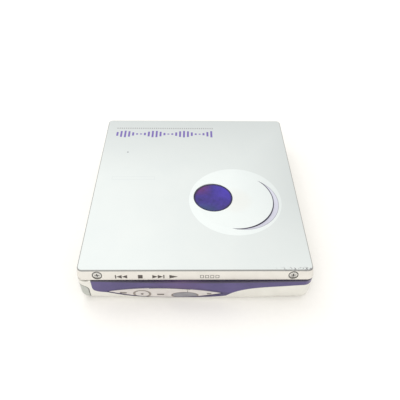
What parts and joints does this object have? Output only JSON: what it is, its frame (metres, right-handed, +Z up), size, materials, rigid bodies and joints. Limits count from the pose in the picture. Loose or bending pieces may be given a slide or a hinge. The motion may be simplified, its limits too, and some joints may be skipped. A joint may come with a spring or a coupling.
{
  "type": "pocket cartridge disc player",
  "caption": "Square pocket disc player: hinged silver lid with a round window and cartridge holder over a shallow case with edge keys and side battery door.",
  "frame": {"origin": "on the resting surface, under the centre of the lid", "axes": "+Z up through the lid, -Y towards the keys, +X towards the mouth"},
  "size_m": [0.0751, 0.0812, 0.0147],
  "materials": {
    "lid_paint": "satin silver-white paint",
    "case_silver": "satin warm silver paint",
    "trim_purple": "gloss purple",
    "key_silver": "satin warm silver",
    "key_grey": "satin mid grey",
    "window_tint": "polished, deep violet tint",
    "dark_plastic": "fine texture",
    "steel": "pressed sheet",
    "screw_steel": "nickel plated",
    "brass": "turned",
    "rubber": "soft matte",
    "board_green": "solder mask",
    "chip_black": "moulded epoxy",
    "cell_wrap": "shrink sleeve",
    "flex_amber": "polyimide film",
    "gear_white": "moulded acetal",
    "lens_glass": "coated lens"
  },
  "bodies": {
    "case": {"bottom_case": "case_silver", "side_trim": "trim_purple", "deck_chassis": "steel", "deck_dampers": "rubber", "deck_screws": "screw_steel", "main_board": "board_green", "board_chips": "chip_black", "guide_rods": "screw_steel", "gear_bracket": "steel", "sled_motor": "screw_steel", "spindle_motor": "steel", "battery_tub": "dark_plastic", "battery_cell": "cell_wrap", "battery_terminal": "brass", "key_board": "board_green", "key_switches": "screw_steel", "key_membrane": "rubber", "key_flex": "flex_amber", "headphone_jack": "dark_plastic", "hinge_pins": "screw_steel", "door_pin": "screw_steel", "latch_spring": "screw_steel", "hold_switch": "dark_plastic", "detect_switch": "dark_plastic"},
    "lid": {"lid_panel": "lid_paint", "window_lens": "window_tint", "window_gasket": "dark_plastic", "lid_rails": "steel", "cartridge_holder": "steel", "holder_top": "steel", "holder_springs": "screw_steel", "lid_screws": "screw_steel"},
    "turntable": {"turntable": "dark_plastic", "spindle_shaft": "screw_steel", "clamp_magnet": "screw_steel"},
    "pickup": {"pickup_body": "dark_plastic", "sled_rack": "gear_white", "actuator_yoke": "steel"},
    "lens": {"lens_holder": "dark_plastic", "objective_lens": "lens_glass"},
    "lead": {"lead_screw": "screw_steel", "lead_gear": "gear_white"},
    "reduction": {"reduction_gear": "gear_white"},
    "motor_rotor": {"motor_pinion": "brass"},
    "skip": {"skip_rocker": "key_silver"},
    "stop": {"stop_key": "key_silver"},
    "play": {"play_key": "key_grey"},
    "group": {"group_key": "key_silver"},
    "opener": {"open_knob": "case_silver", "lock_slide": "steel"},
    "hold": {"hold_knob": "dark_plastic"},
    "door": {"battery_door": "case_silver", "door_contact": "brass"},
    "detect": {"disc_detect_pin": "dark_plastic"}
  },
  "joints": [
    {"name": "lid_hinge", "type": "hinge", "parent": "case", "child": "lid", "pos_m": [-0.0356, 0, 0.0108], "axis": [0, -1, 0], "range_deg": [0, 30]},
    {"name": "turntable_spin", "type": "hinge", "parent": "case", "child": "turntable", "pos_m": [0.0017, -0.002, 0.008], "axis": [0, 0, 1], "continuous": true},
    {"name": "sled_slide", "type": "slide", "parent": "case", "child": "pickup", "axis": [0, 1, 0], "range_m": [0, 0.0165]},
    {"name": "lens_focus", "type": "slide", "parent": "pickup", "child": "lens", "axis": [0, 0, 1], "range_m": [-0.0004, 0.0004], "stiffness_N_per_m": 25},
    {"name": "lead_spin", "type": "hinge", "parent": "case", "child": "lead", "pos_m": [-0.013, 0, 0.0045], "axis": [0, 1, 0], "range_deg": [0, 1981]},
    {"name": "reduction_spin", "type": "hinge", "parent": "case", "child": "reduction", "pos_m": [-0.01644, 0, 0.0045], "axis": [0, 1, 0], "range_deg": [-3961, 0]},
    {"name": "motor_spin", "type": "hinge", "parent": "case", "child": "motor_rotor", "pos_m": [-0.01987, 0, 0.0045], "axis": [0, 1, 0], "range_deg": [0, 7921]},
    {"name": "skip_rock", "type": "hinge", "parent": "case", "child": "skip", "pos_m": [-0.0171, -0.03997, 0.0039], "axis": [0, 0, 1], "range_deg": [-1.3, 1.3], "stiffness_Nm_per_rad": 0.05},
    {"name": "stop_press", "type": "slide", "parent": "case", "child": "stop", "axis": [0, 1, 0], "range_m": [0, 0.0003], "stiffness_N_per_m": 300},
    {"name": "play_press", "type": "slide", "parent": "case", "child": "play", "axis": [0, 1, 0], "range_m": [0, 0.0003], "stiffness_N_per_m": 300},
    {"name": "group_press", "type": "slide", "parent": "case", "child": "group", "axis": [0, 1, 0], "range_m": [0, 0.0003], "stiffness_N_per_m": 300},
    {"name": "open_slide", "type": "slide", "parent": "case", "child": "opener", "axis": [0, -1, 0], "range_m": [0, 0.003], "stiffness_N_per_m": 120, "deforming": ["latch_spring"]},
    {"name": "hold_slide", "type": "slide", "parent": "case", "child": "hold", "axis": [1, 0, 0], "range_m": [0, 0.002]},
    {"name": "door_hinge", "type": "hinge", "parent": "case", "child": "door", "pos_m": [-0.0362, -0.01888, 0.0045], "axis": [0, 0, -1], "range_deg": [0, 90]},
    {"name": "detect_press", "type": "slide", "parent": "case", "child": "detect", "axis": [0, 0, -1], "range_m": [0, 0.0006], "stiffness_N_per_m": 40}
  ],
  "couplings": [
    {"joint": "lead_spin", "follows": "sled_slide", "rad_per_m": 2094.4},
    {"joint": "reduction_spin", "follows": "sled_slide", "rad_per_m": -4188.8},
    {"joint": "motor_spin", "follows": "sled_slide", "rad_per_m": 8377.6}
  ]
}
